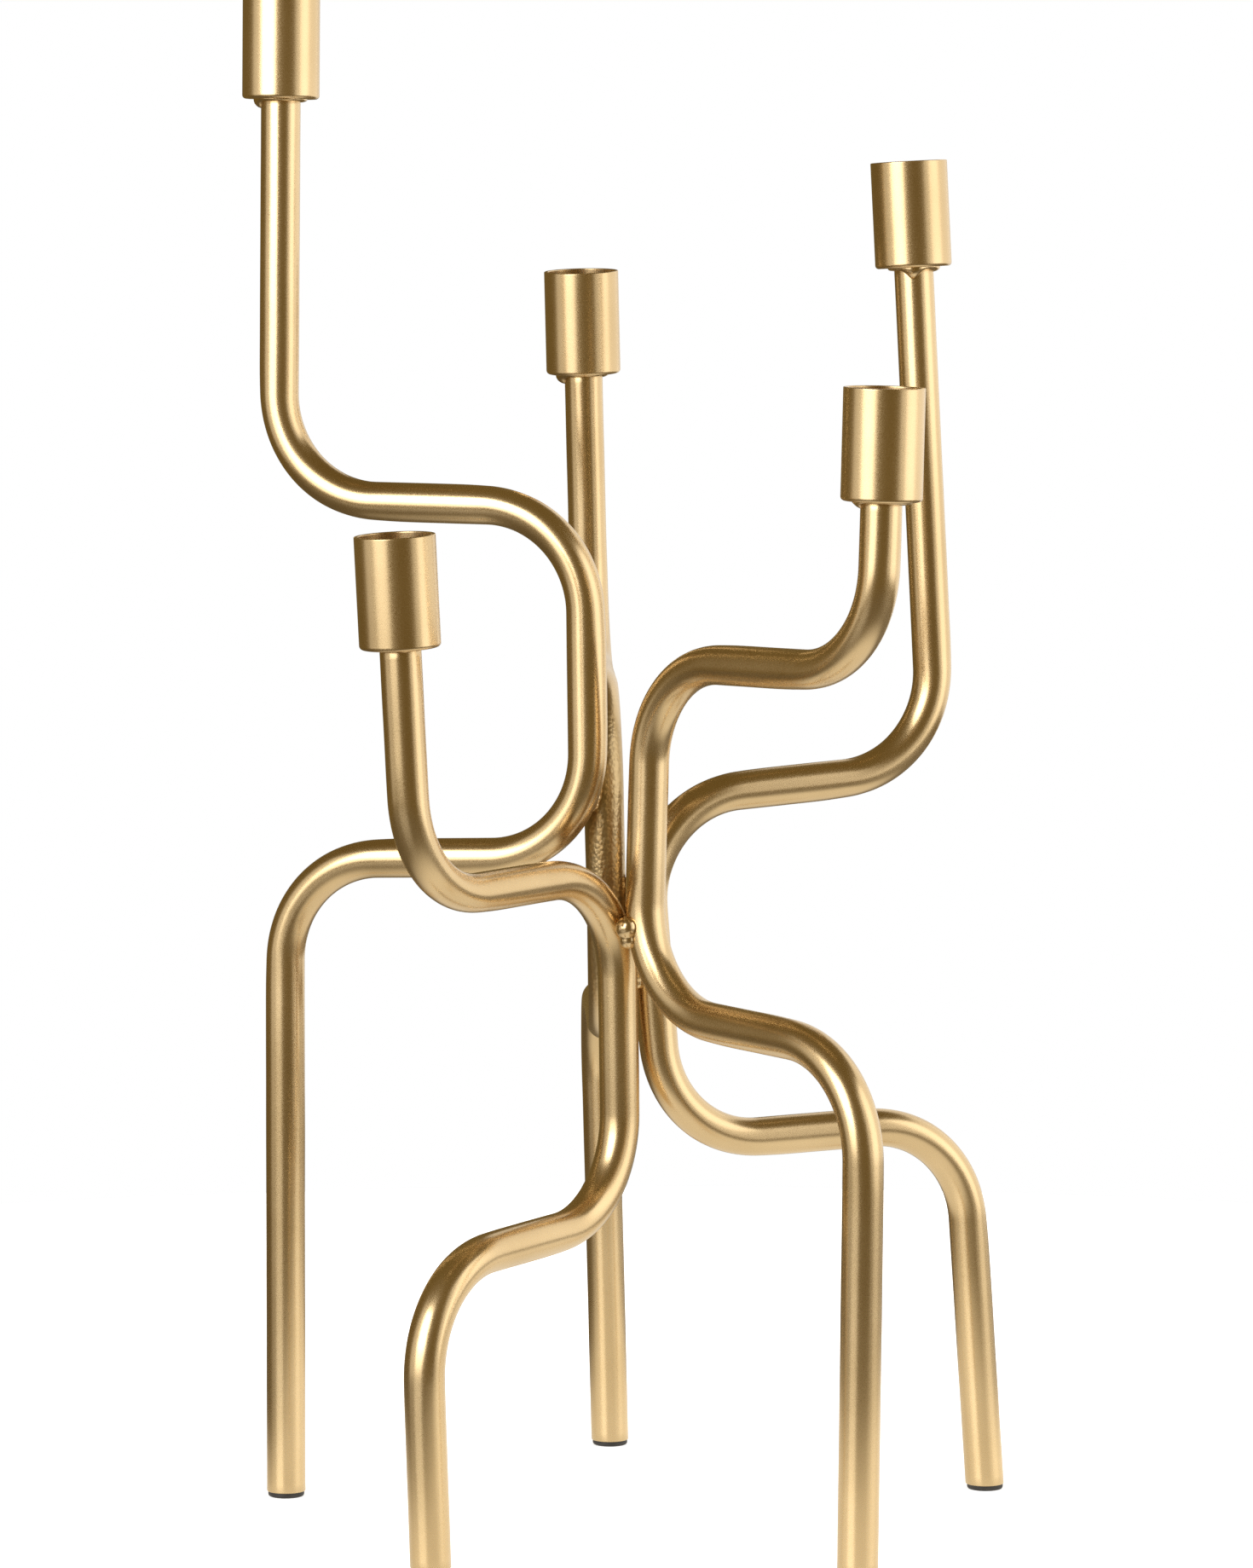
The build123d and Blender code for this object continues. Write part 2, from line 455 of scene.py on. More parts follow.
# Width and height in millimetres, then the drips: bearing and spread in degrees, and how
# much wider and higher the bead is there, in millimetres.
BEADS = {
    "back_left": (2.1, 0.9, [(-78, 16, 0.4, 2.2)]),
    "front_left": (1.2, 0.8, [(-150, 40, 0.3, 0.5)]),
    "front_right": (3.1, 0.7, [(-75, 18, -1.0, 1.6), (60, 30, 0.2, 0.3)]),
    "back_right": (2.0, 0.9, [(-6, 20, 0.9, 3.0), (78, 22, 0.3, 0.8)]),
    "back": (1.8, 0.8, [(-84, 22, 1.2, 2.6), (95, 30, 0.3, 0.6)]),
}


def bead_mesh(arm):
    """A bmesh of the hand-made fillet between a cup and its tube."""
    width, height, drips = BEADS[arm]
    seat = top_seat(arm)
    mesh = bmesh.new()
    loops = []
    for k in range(BEAD_SEGMENTS):
        bearing = 360 * k / BEAD_SEGMENTS
        angle = math.radians(bearing)
        out = Vector((math.sin(angle), -math.cos(angle), 0))
        out = (out - seat.col[2].xyz * out.dot(seat.col[2].xyz)).normalized()
        spot = Vector((out.x * WANDER_SCALE, out.y * WANDER_SCALE, len(arm) * WANDER_SHIFT))
        wander = noise.noise(spot)
        wide, tall = width * (1 + WIDTH_WANDER * wander), height * (1 + HEIGHT_WANDER * wander)
        for at, spread, more_width, more_height in drips:
            away = (bearing - at + 180) % 360 - 180
            share = math.exp(-((away / spread) ** 2))
            wide += more_width * share
            tall += more_height * share
        root = seat.translation + out * (TUBE_RADIUS - BEAD_ROOT)
        up = seat.col[2].xyz
        loop = [root + up * BEAD_LAP, root - up * tall * MM]
        for i in range(BEAD_STEPS + 1):
            turn = math.pi / 2 * i / BEAD_STEPS
            grow = BEAD_ROOT + wide * MM * math.sin(turn) ** OUTWARD_CURVE
            drop = tall * MM * math.cos(turn) ** DOWNWARD_CURVE
            loop.append(root + out * grow - up * drop)
        loop.append(root + out * (BEAD_ROOT + wide * MM) + up * BEAD_LAP)
        loops.append([mesh.verts.new(p) for p in loop])
    for before, after in zip(loops, loops[1:] + loops[:1]):
        bridge(mesh, before, after)
    return mesh


print("drips under the cups:", {arm: len(bead[2]) for arm, bead in BEADS.items()})

# %% [markdown]
# ## Weld metal between the tubes
#
# A weld in a groove is a short stack of frozen puddles.  Balls joined by a Boolean or a
# remesh would do, but they leave uneven meshes.  Here a weld is a turned shape whose
# radius swells at every puddle; the creases between the puddles are melted by smoothing,
# and noise pushes the surface about a little.  The front weld, which shows most, is one
# round ball with a smaller drop under it.

# %% Groove weld shape
WELD_STEPS = 44
WELD_SEGMENTS = 36
WELD_MELT = 4
MELT_SHARE = 0.5
RIPPLE_SCALE = 420
RIPPLE_HEIGHT = 0.15 * MM
SEED_LEAN = 1.7
PUDDLE = 2.4 * MM
END_TAPER = 0.35


def puddled(length, girth):
    """The (place, radius) puddles of an even groove weld, lying end to end."""
    count = round(length / PUDDLE)
    return [
        ((k + 0.5) / count * length - length / 2,
         girth / 2 * (1 - END_TAPER * abs((k + 0.5) / count * 2 - 1) ** 2))
        for k in range(count)
    ]


def weld_mesh(place, axis, puddles, seed):
    """A bmesh of a row of puddles along an axis; the seed picks where the noise is read."""
    seat = seat_at(place, axis)
    low = min(h - r for h, r in puddles)
    high = max(h + r for h, r in puddles)
    profile = []
    for i in range(WELD_STEPS + 1):
        height = low + (high - low) * (1 - math.cos(math.pi * i / WELD_STEPS)) / 2
        reach = [max(0.0, r * r - (height - h) ** 2) for h, r in puddles]
        profile.append((math.sqrt(max(reach)) if 0 < i < WELD_STEPS else 0.0, height))
    mesh = turned(bmesh.new(), profile, seat, WELD_SEGMENTS)
    for _ in range(WELD_MELT):
        bmesh.ops.smooth_vert(mesh, verts=mesh.verts, factor=MELT_SHARE, use_axis_x=True,
                              use_axis_y=True, use_axis_z=True)
    shift = Vector((seed, seed * SEED_LEAN, 0))
    for vert in mesh.verts:
        out = (vert.co - place).normalized()
        vert.co += out * noise.noise(vert.co * RIPPLE_SCALE + shift) * RIPPLE_HEIGHT
    return mesh


print("a 14 mm weld has", len(puddled(14.0 * MM, 6.0 * MM)), "puddles")

# %% [markdown]
# ## Foot plugs
#
# A black plug is moulded in one piece: a low head with a soft lower edge that stands on
# the table, a small dimple under it where the plastic was fed into the mould, and a
# ribbed stem that grips the bore of the tube.  Head and stem could be one profile, but the
# head lies level on the table while the stem follows the leg, so they are two turned
# shapes that overlap, each on its own axis.

# %% Plug shape
PLUG_SEGMENTS = 72
PLUG_STEM = 13.0 * MM
STEM_RADIUS = 4.3 * MM
TIP_CHAMFER = 0.5 * MM
RIBS = 3
RIB_RADIUS = 5.2 * MM
RIB_HEIGHT = 1.2 * MM
RIB_SLOPE = 0.4
RIB_PITCH = 3.6 * MM
DIMPLE_RADIUS = 1.6 * MM
DIMPLE_DEPTH = 0.3 * MM
HEAD_PROFILE = [
    ((0, DIMPLE_DEPTH), 0),
    ((DIMPLE_RADIUS, DIMPLE_DEPTH), 0),
    ((DIMPLE_RADIUS + DIMPLE_DEPTH, 0), 0),
    ((FOOT_HEAD_RADIUS, 0), 0.9 * MM),
    ((FOOT_HEAD_RADIUS, FOOT_HEIGHT), 0.1 * MM),
    ((0, FOOT_HEIGHT), 0),
]


def stem_profile():
    """The ribbed stem, from inside the head to its tip."""
    profile = [(0, FOOT_HEIGHT / 2), (STEM_RADIUS, FOOT_HEIGHT / 2)]
    for k in range(1, RIBS + 1):
        rib = FOOT_HEIGHT + k * RIB_PITCH
        profile += [(STEM_RADIUS, rib), (RIB_RADIUS, rib + RIB_HEIGHT * RIB_SLOPE),
                    (RIB_RADIUS, rib + RIB_HEIGHT), (STEM_RADIUS, rib + RIB_HEIGHT)]
    tip = FOOT_HEIGHT + PLUG_STEM
    return profile + [(STEM_RADIUS, tip - TIP_CHAMFER), (STEM_RADIUS - TIP_CHAMFER, tip), (0, tip)]


def plug_mesh(arm):
    """A bmesh of one foot plug: a level head and a stem along the leg."""
    leg = walks[arm].headings[0]
    foot = corners[arm][0]
    foot = foot - leg * (foot.z / leg.z)
    mesh = turned(bmesh.new(), rounded(HEAD_PROFILE), Matrix.Translation(foot), PLUG_SEGMENTS)
    return turned(mesh, stem_profile(), seat_at(foot, leg), PLUG_SEGMENTS)


print("plug head", FOOT_HEAD_RADIUS * 2, "m across")

# %% [markdown]
# ## Shader node groups for the sprayed paint
#
# A node group is a small tool with named inputs and outputs.  Each effect of the spray
# gun is one group that reads the place on the object and gives back a height, a mask or
# a value, and every material uses it with its own settings.  Painted textures would need
# unwrapped meshes; these groups work on any piece and keep their size in metres.
#
# There are four: the grain of the paint with the crumbs of dry spray, the drift of the
# coat from thin to thick, the dust nibs, and the mask of where the spray landed dry, which
# also places painted shade between the tubes.

# %% A helper that starts a node group
LINK_FLOAT = "NodeSocketFloat"


def start_group(name, inputs, outputs):
    """A new shader node group with float sockets, and its in, out and place nodes."""
    group = bpy.data.node_groups.new(name, "ShaderNodeTree")
    for title, value, low, high in inputs:
        socket = group.interface.new_socket(title, in_out="INPUT", socket_type=LINK_FLOAT)
        socket.default_value, socket.min_value, socket.max_value = value, low, high
    for title in outputs:
        group.interface.new_socket(title, in_out="OUTPUT", socket_type=LINK_FLOAT)
    return (group, group.nodes.new("NodeGroupInput"), group.nodes.new("NodeGroupOutput"),
            group.nodes.new("ShaderNodeTexCoord"))


def math_node(tree, operation, *values, clamp=False):
    """A Math node; each value is a number or a socket to link."""
    node = tree.nodes.new("ShaderNodeMath")
    node.operation = operation
    node.use_clamp = clamp
    for socket, value in zip(node.inputs, values):
        if isinstance(value, (int, float)):
            socket.default_value = value
        else:
            tree.links.new(value, socket)
    return node.outputs[0]


def texture(tree, kind, place, scale, **inputs):
    """A texture node read at a place, with its scale linked or set."""
    node = tree.nodes.new(kind)
    tree.links.new(place, node.inputs["Vector"])
    if isinstance(scale, (int, float)):
        node.inputs["Scale"].default_value = scale
    else:
        tree.links.new(scale, node.inputs["Scale"])
    for title, value in inputs.items():
        node.inputs[title].default_value = value
    return node


print("every group socket is a", LINK_FLOAT)

# %% Group: the grain of the metallic paint
CRUMB_COARSENESS = 0.5
CRUMB_HEIGHT = 24.0
FLAKE_FINENESS = 2.6
grain_group, came, goes, spot = start_group(
    "Paint grain", [("Size", 0.0008, 0.0001, 0.01), ("Dry spray and shade", 0.0, 0.0, 1.0)],
    ["Height", "Fleck"])
per_metre = math_node(grain_group, "DIVIDE", 1.0, came.outputs["Size"])
orange_peel = texture(grain_group, "ShaderNodeTexNoise", spot.outputs["Object"], per_metre,
                      Detail=2.0, Roughness=0.55)
coarser = math_node(grain_group, "MULTIPLY", per_metre, CRUMB_COARSENESS)
crumbs = texture(grain_group, "ShaderNodeTexVoronoi", spot.outputs["Object"], coarser,
                 Randomness=1.0)
finer = math_node(grain_group, "MULTIPLY", per_metre, FLAKE_FINENESS)
flakes = texture(grain_group, "ShaderNodeTexNoise", spot.outputs["Object"], finer, Detail=1.0)
crumb_shape = math_node(grain_group, "SUBTRACT", 1.0, crumbs.outputs["Distance"], clamp=True)
rough_part = math_node(grain_group, "MULTIPLY", crumb_shape, came.outputs["Dry spray and shade"])
height = math_node(grain_group, "ADD", orange_peel.outputs["Fac"],
                   math_node(grain_group, "MULTIPLY", rough_part, CRUMB_HEIGHT))
grain_group.links.new(height, goes.inputs["Height"])
grain_group.links.new(flakes.outputs["Fac"], goes.inputs["Fleck"])
print(grain_group.name, [s.name for s in grain_group.interface.items_tree])

# %% Group: the slow drift of the sprayed coat from thin to thick
drift_group, came, goes, spot = start_group(
    "Coat drift", [("Patch size", 0.05, 0.005, 0.5)], ["Amount"])
per_metre = math_node(drift_group, "DIVIDE", 1.0, came.outputs["Patch size"])
clouds = texture(drift_group, "ShaderNodeTexNoise", spot.outputs["Object"], per_metre,
                 Detail=3.0, Roughness=0.5)
drift_group.links.new(clouds.outputs["Fac"], goes.inputs["Amount"])
print(drift_group.name, [s.name for s in drift_group.interface.items_tree])

# %% Group: dust nibs caught in the paint
nib_group, came, goes, spot = start_group(
    "Dust nibs", [("Spacing", 0.012, 0.001, 0.1), ("Nib share", 0.06, 0.0, 0.5)], ["Mask"])
per_metre = math_node(nib_group, "DIVIDE", 1.0, came.outputs["Spacing"])
cells = texture(nib_group, "ShaderNodeTexVoronoi", spot.outputs["Object"], per_metre,
                Randomness=1.0)
inside = math_node(nib_group, "SUBTRACT", came.outputs["Nib share"], cells.outputs["Distance"])
nib = math_node(nib_group, "DIVIDE", inside, came.outputs["Nib share"], clamp=True)
nib_group.links.new(nib, goes.inputs["Mask"])
print(nib_group.name, [s.name for s in nib_group.interface.items_tree])

# %% Group: dry spray and painted shade, deep between the tubes where the gun couldn't reach
SOFT_END = 0.03
PATCH_SCALE = 45.0
PATCH_GAIN = 3.2
# One mask places both the crumbs of dry spray and the painted shade deep between the tubes.
dry_and_shade_group, came, goes, spot = start_group(
    "Dry spray and shade", [("Reach", 0.028, 0.005, 0.1), ("Low", 0.16, 0.0, 1.0),
                  ("High", 0.30, 0.0, 1.0), ("Centre X", 0.0, -1.0, 1.0),
                  ("Centre Y", 0.0, -1.0, 1.0)], ["Mask"])
parts = dry_and_shade_group.nodes.new("ShaderNodeSeparateXYZ")
dry_and_shade_group.links.new(spot.outputs["Object"], parts.inputs[0])
away_x = math_node(dry_and_shade_group, "SUBTRACT", parts.outputs["X"], came.outputs["Centre X"])
away_y = math_node(dry_and_shade_group, "SUBTRACT", parts.outputs["Y"], came.outputs["Centre Y"])
away = math_node(dry_and_shade_group, "SQRT", math_node(
    dry_and_shade_group, "ADD", math_node(dry_and_shade_group, "MULTIPLY", away_x, away_x),
    math_node(dry_and_shade_group, "MULTIPLY", away_y, away_y)))
near = math_node(dry_and_shade_group, "SUBTRACT", 1.0,
                 math_node(dry_and_shade_group, "DIVIDE", away, came.outputs["Reach"]), clamp=True)
above = math_node(dry_and_shade_group, "DIVIDE", math_node(
    dry_and_shade_group, "SUBTRACT", parts.outputs["Z"], came.outputs["Low"]), SOFT_END, clamp=True)
below = math_node(dry_and_shade_group, "DIVIDE", math_node(
    dry_and_shade_group, "SUBTRACT", came.outputs["High"], parts.outputs["Z"]), SOFT_END, clamp=True)
patch = texture(dry_and_shade_group, "ShaderNodeTexNoise", spot.outputs["Object"], PATCH_SCALE, Detail=2.0)
ragged = math_node(dry_and_shade_group, "MULTIPLY", math_node(
    dry_and_shade_group, "MULTIPLY", near, math_node(dry_and_shade_group, "MULTIPLY", above, below)),
    math_node(dry_and_shade_group, "MULTIPLY", patch.outputs["Fac"], PATCH_GAIN), clamp=True)
dry_and_shade_group.links.new(ragged, goes.inputs["Mask"])
print(dry_and_shade_group.name, [s.name for s in dry_and_shade_group.interface.items_tree])

# %% [markdown]
# ## The gold paint
#
# Metallic paint is a lacquer full of tiny flakes.  It shines like brushed brass from
# afar and shows a fine grain from near.  A mix of a diffuse and a glossy shader could
# stand for it, but one metal shader with a thin clear coat keeps the brown and pale bands
# that the flakes give.  Its colour drifts a little.  The welds and the cups get the same
# paint with more or less grain, so that the whole object looks sprayed in one go.
#
# The dry spray sits deep between the tubes, mostly on the back one.  There the colour darkens,
# partly as dull dry spray and partly as painted shade where the tubes hide each other.

# %% A helper that places a group in a material
def placed(tree, group, **values):
    """A group node in a material, with its own values."""
    node = tree.nodes.new("ShaderNodeGroup")
    node.node_tree = group
    for title, value in values.items():
        node.inputs[title.replace("_", " ")].default_value = value
    return node


def blend_colour(tree, share, first, second):
    """A colour between two, by a share."""
    node = tree.nodes.new("ShaderNodeMix")
    node.data_type = "RGBA"
    tree.links.new(share, node.inputs[0])
    for socket, colour in ((node.inputs[6], first), (node.inputs[7], second)):
        if isinstance(colour, tuple):
            socket.default_value = (*colour, 1)
        else:
            tree.links.new(colour, socket)
    return node.outputs[2]


def stretch(tree, value, low, high, to_low, to_high):
    """A value remapped from one range to another."""
    node = tree.nodes.new("ShaderNodeMapRange")
    for title, number in (("From Min", low), ("From Max", high), ("To Min", to_low),
                          ("To Max", to_high)):
        node.inputs[title].default_value = number
    tree.links.new(value, node.inputs["Value"])
    return node.outputs[0]


def start_material(name):
    """A new node-based material with its node tree and shader."""
    made = bpy.data.materials.new(name)
    made.use_nodes = True
    return made, made.node_tree, made.node_tree.nodes["Principled BSDF"]


print("material helpers: placed, blend_colour, stretch and start_material")

# %% The gold paint itself
GOLD_THIN = (0.68, 0.497, 0.26)
GOLD_THICK = (0.80, 0.603, 0.34)
# Dull brown deep between the tubes: dry spray mixed with painted shade where the tubes hide each
# other.
GOLD_DRY_AND_SHADE = (0.40, 0.285, 0.13)
GOLD_NIB = (0.95, 0.80, 0.50)
FLECK_SHARE = 0.14
DRY_AND_SHADE_TINT = 0.7
DRY_ROUGHNESS = 0.08
GLOSS_SPREAD = 0.03
NIB_HEIGHT = 3.0
DEEP_HEIGHT = 0.23
deepest = next(place for place in walks["back"].places if place.z > DEEP_HEIGHT)


def gold_paint(name, grain_size, grain_depth, gloss, dry_and_shade_reach):
    """Satin gold paint: grain size and depth, roughness, and how far the dry spray and painted
    shade reach.
    """
    made, tree, shader = start_material(name)
    dry_and_shade = placed(tree, dry_and_shade_group, Reach=dry_and_shade_reach, Centre_X=deepest.x, Centre_Y=deepest.y)
    grain = placed(tree, grain_group, Size=grain_size)
    tree.links.new(dry_and_shade.outputs["Mask"], grain.inputs["Dry spray and shade"])
    drift = placed(tree, drift_group, Patch_size=0.045)
    nibs = placed(tree, nib_group, Spacing=0.009, Nib_share=0.045)
    tone = stretch(tree, drift.outputs["Amount"], 0.3, 0.7, 0.0, 1.0)
    colour = blend_colour(tree, tone, GOLD_THIN, GOLD_THICK)
    fleck = stretch(tree, grain.outputs["Fleck"], 0.35, 0.75, 0.0, FLECK_SHARE)
    colour = blend_colour(tree, fleck, colour, GOLD_NIB)
    # Towards the middle of the bundle the colour darkens: painted shade between the tubes, mixed
    # with the dull dry spray.
    dry_and_shade_share = math_node(tree, "MULTIPLY", dry_and_shade.outputs["Mask"], DRY_AND_SHADE_TINT)
    colour = blend_colour(tree, dry_and_shade_share, colour, GOLD_DRY_AND_SHADE)
    tree.links.new(colour, shader.inputs["Base Color"])
    rough = stretch(tree, grain.outputs["Fleck"], 0.3, 0.7, gloss - GLOSS_SPREAD,
                    gloss + GLOSS_SPREAD)
    duller = math_node(tree, "MULTIPLY", dry_and_shade.outputs["Mask"], DRY_ROUGHNESS)
    tree.links.new(math_node(tree, "ADD", rough, duller), shader.inputs["Roughness"])
    bump = tree.nodes.new("ShaderNodeBump")
    bump.inputs["Strength"].default_value = 1.0
    bump.inputs["Distance"].default_value = grain_depth
    bumps = math_node(tree, "ADD", grain.outputs["Height"],
                      math_node(tree, "MULTIPLY", nibs.outputs["Mask"], NIB_HEIGHT))
    tree.links.new(bumps, bump.inputs["Height"])
    tree.links.new(bump.outputs["Normal"], shader.inputs["Normal"])
    shader.inputs["Metallic"].default_value = 1.0
    shader.inputs["Coat Weight"].default_value = 0.35
    shader.inputs["Coat Roughness"].default_value = 0.18
    return made


tube_gold = gold_paint("Gold paint on tube", grain_size=0.0007, grain_depth=0.000006,
                       gloss=0.27, dry_and_shade_reach=0.016)
cup_gold = gold_paint("Gold paint on cups", grain_size=0.0008, grain_depth=0.0000035,
                      gloss=0.28, dry_and_shade_reach=0.010)
weld_gold = gold_paint("Gold paint on welds", grain_size=0.0006, grain_depth=0.000006,
                       gloss=0.22, dry_and_shade_reach=0.004)
print("gold paints:", tube_gold.name, "/", cup_gold.name, "/", weld_gold.name)

# %% [markdown]
# ## The black plastic of the plugs
#
# Moulded polyethylene: nearly black, with a soft shine and the faint matte skin of the
# mould.  A plain dark colour would do from afar; the paint's own grain and drift groups,
# placed again with finer values, give the skin and the wear at no extra work.

# %% Black plastic
PLASTIC_DARK = (0.030, 0.027, 0.026)
PLASTIC_WORN = (0.050, 0.046, 0.044)
SKIN_DEPTH = 0.00002
foot_black, tree, shader = start_material("Black moulded plastic")
skin = placed(tree, grain_group, Size=0.0004)
wear = placed(tree, drift_group, Patch_size=0.004)
wear_share = stretch(tree, wear.outputs["Amount"], 0.4, 0.7, 0.0, 1.0)
tree.links.new(blend_colour(tree, wear_share, PLASTIC_DARK, PLASTIC_WORN),
               shader.inputs["Base Color"])
tree.links.new(stretch(tree, skin.outputs["Fleck"], 0.3, 0.7, 0.46, 0.58),
               shader.inputs["Roughness"])
bump = tree.nodes.new("ShaderNodeBump")
bump.inputs["Distance"].default_value = SKIN_DEPTH
tree.links.new(skin.outputs["Height"], bump.inputs["Height"])
tree.links.new(bump.outputs["Normal"], shader.inputs["Normal"])
print("plastic:", foot_black.name)

# %% [markdown]
# ## Putting the pieces together
#
# Every piece stands for one CAD node, carries its name with a short ending, and rides on
# the one body of the object, because nothing on it moves.  The tubes could be joined into
# one mesh, but separate pieces can be swapped or bent anew one by one.
#
# The welds in the middle are placed last, where two tubes come closest.

# %% Tubes, cups, beads and plugs
for arm in ARMS:
    new_piece("tube_" + arm + "_skin", closed_wall(tube_rings(arm)), tube_gold,
              "satin_gold", "tube_" + arm)
    new_piece("candle_cup_" + arm + "_turned", cup_mesh(arm), cup_gold,
              "satin_gold", "candle_cup_" + arm)
    new_piece("cup_weld_" + arm + "_bead", bead_mesh(arm), weld_gold,
              "satin_gold", "cup_weld_" + arm)
    new_piece("foot_plug_" + arm + "_moulded", plug_mesh(arm), foot_black,
              "foot_plastic", "foot_plug_" + arm)

# %% Where two tubes come closest
def closest_middle(first, second):
    """The middle of the gap between two tubes, and the way across it."""
    near, far = (np.array([tuple(p) for p in walks[arm].places]) for arm in (first, second))
    gaps = np.linalg.norm(near[:, None] - far[None, :], axis=2)
    i, j = np.unravel_index(gaps.argmin(), gaps.shape)
    return Vector((near[i] + far[j]) / 2), Vector(far[j] - near[i]).normalized()


for first, second in (("front_left", "front_right"), ("back", "back_right")):
    print(first, "and", second, "come closest at",
          [round(c, 4) for c in closest_middle(first, second)[0]])

# %% Welds in the grooves
SEED_STEP = 3.1
# A weld's name, its two tubes and the side it is seen from, then in millimetres how far it
# stands out to that side and slides across the groove, and its puddles.
WELDS = [
    ("front", "front_left", "front_right", (0.55, -1.0), 5.8, 2.3,
     [(-0.4 * MM, 3.8 * MM), (-4.4 * MM, 2.8 * MM)]),
    ("left", "back", "front_left", (-1.0, 0.2), 1.8, 0.0, puddled(14.0 * MM, 6.8 * MM)),
    ("back_left", "back_left", "back", (0.3, -1.0), 0.6, 0.0, puddled(12.0 * MM, 5.6 * MM)),
    ("right", "front_left", "back_right", (1.0, -0.6), 0.8, 0.0, puddled(14.0 * MM, 5.6 * MM)),
    ("back_right", "back_right", "back", (0.5, 1.0), 3.8, 0.0, puddled(14.0 * MM, 6.0 * MM)),
]
for number, (weld, first, second, side, stand_off, slide, puddles) in enumerate(WELDS):
    middle, across = closest_middle(first, second)
    towards = Vector((*side, 0))
    towards = (towards - across * towards.dot(across)).normalized()
    place = middle + towards * stand_off * MM + across * slide * MM
    axis = across.cross(towards)
    axis *= math.copysign(1, axis.z)
    low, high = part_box("centre_weld_" + weld)
    print(weld, "weld is off its CAD place by", round((place - (low + high) / 2).length, 4))
    lump = weld_mesh(place, axis, puddles, SEED_STEP * number)
    new_piece("centre_weld_" + weld + "_lump", lump, weld_gold, "satin_gold",
              "centre_weld_" + weld)

# %% [markdown]
# ## Floor
#
# The object stands on a pale floor in a white studio.  A plain white floor would flood the
# undersides of the bends with white, so the paper has two faces.  The eye sees a bright
# white sheet.  Reflections see a dark warm sheet with a glowing pale patch round the feet,
# painted light that stands for brightly lit paper; it leaves the bends brown below and
# lights the lower legs softly.  The Light Path node picks the face, so nothing depends on
# where the camera stands.

# %% Floor disc
FLOOR_RADIUS = 0.75
FLOOR_SEGMENTS = 96
mesh = bmesh.new()
bmesh.ops.create_circle(mesh, cap_ends=True, radius=FLOOR_RADIUS, segments=FLOOR_SEGMENTS)
data = bpy.data.meshes.new("studio_floor")
mesh.to_mesh(data)
mesh.free()
floor = bpy.data.objects.new("studio_floor", data)
bpy.context.scene.collection.objects.link(floor)
print("floor", FLOOR_RADIUS * 2, "m across")

# %% The floor as reflections see it
WARM_SHEET = (0.13, 0.105, 0.065, 1)
PATCH_LIGHT = (1.0, 0.97, 0.90, 1)
PATCH_MIDDLE = (0.08, 0.0, 0.0)
PATCH_FULL_TO = 0.20
PATCH_GONE_AT = 0.34
PATCH_STRENGTH = 0.74
paper, tree, shader = start_material("Pale floor paper")
shader.inputs["Base Color"].default_value = WARM_SHEET
shader.inputs["Roughness"].default_value = 0.28
shader.inputs["Specular IOR Level"].default_value = 0.5
place = tree.nodes.new("ShaderNodeTexCoord")
reach = tree.nodes.new("ShaderNodeVectorMath")
reach.operation = "DISTANCE"
reach.inputs[1].default_value = PATCH_MIDDLE
tree.links.new(place.outputs["Object"], reach.inputs[0])
# Painted light: the paper glows round the feet as brightly lit paper would, and fades out further
# away.
near_light = stretch(tree, reach.outputs["Value"], PATCH_FULL_TO, PATCH_GONE_AT,
                     PATCH_STRENGTH, 0.0)
shader.inputs["Emission Color"].default_value = PATCH_LIGHT
tree.links.new(near_light, shader.inputs["Emission Strength"])
print("the pale patch fades out", PATCH_GONE_AT, "m from its middle")

# %% The floor as the eye sees it
FLOOR_WHITE = (0.92, 0.92, 0.92, 1)
FLOOR_LIFT = 0.62
bright = tree.nodes.new("ShaderNodeBsdfDiffuse")
bright.inputs["Color"].default_value = FLOOR_WHITE
lift = tree.nodes.new("ShaderNodeEmission")
lift.inputs["Color"].default_value = (1, 1, 1, 1)
lift.inputs["Strength"].default_value = FLOOR_LIFT
both = tree.nodes.new("ShaderNodeAddShader")
tree.links.new(bright.outputs[0], both.inputs[0])
tree.links.new(lift.outputs[0], both.inputs[1])
seen = tree.nodes.new("ShaderNodeMixShader")
rays = tree.nodes.new("ShaderNodeLightPath")
tree.links.new(rays.outputs["Is Camera Ray"], seen.inputs[0])
tree.links.new(shader.outputs[0], seen.inputs[1])
tree.links.new(both.outputs[0], seen.inputs[2])
tree.links.new(seen.outputs[0], tree.nodes["Material Output"].inputs["Surface"])
floor.data.materials.append(paper)
print("floor material:", paper.name, "with", len(tree.nodes), "nodes")

# %% [markdown]
# ## The room round the object
#
# Gold paint shows what stands round it.  A white room would wash it out, so the world is
# white only to the eye, and reflections see a dim warm brown.  That brown fills the bands
# between the lights and makes the paint look like metal.

# %% World: white to the eye, a dim warm room in reflections
ROOM_BROWN = (0.165, 0.114, 0.038)
ROOM_WHITE = (1.0, 1.0, 1.0)
world = bpy.data.worlds.new("Studio")
bpy.context.scene.world = world
world.use_nodes = True
tree = world.node_tree
back = tree.nodes["Background"]
rays = tree.nodes.new("ShaderNodeLightPath")
room = blend_colour(tree, rays.outputs["Is Camera Ray"], ROOM_BROWN, ROOM_WHITE)
tree.links.new(room, back.inputs["Color"])
bpy.context.scene.view_settings.view_transform = "Standard"
print("world:", world.name)

# %% [markdown]
# ## Softboxes
#
# The light is set up as for metal.  A bright panel in front on the left draws the bright
# stripe; it is built from three, dimmer towards the floor, so the stripe fades down the
# legs.  A dim wing stands beside it on the left.  Four panels on the right, from the front
# round to the back, draw the pale edge.  One lamp would light the object as well, but it
# is the shape of each panel that shows in the paint.  A light overhead brightens the floor
# and stays out of the reflections.

# %% Softboxes
LAMP_SPREAD = 4.0
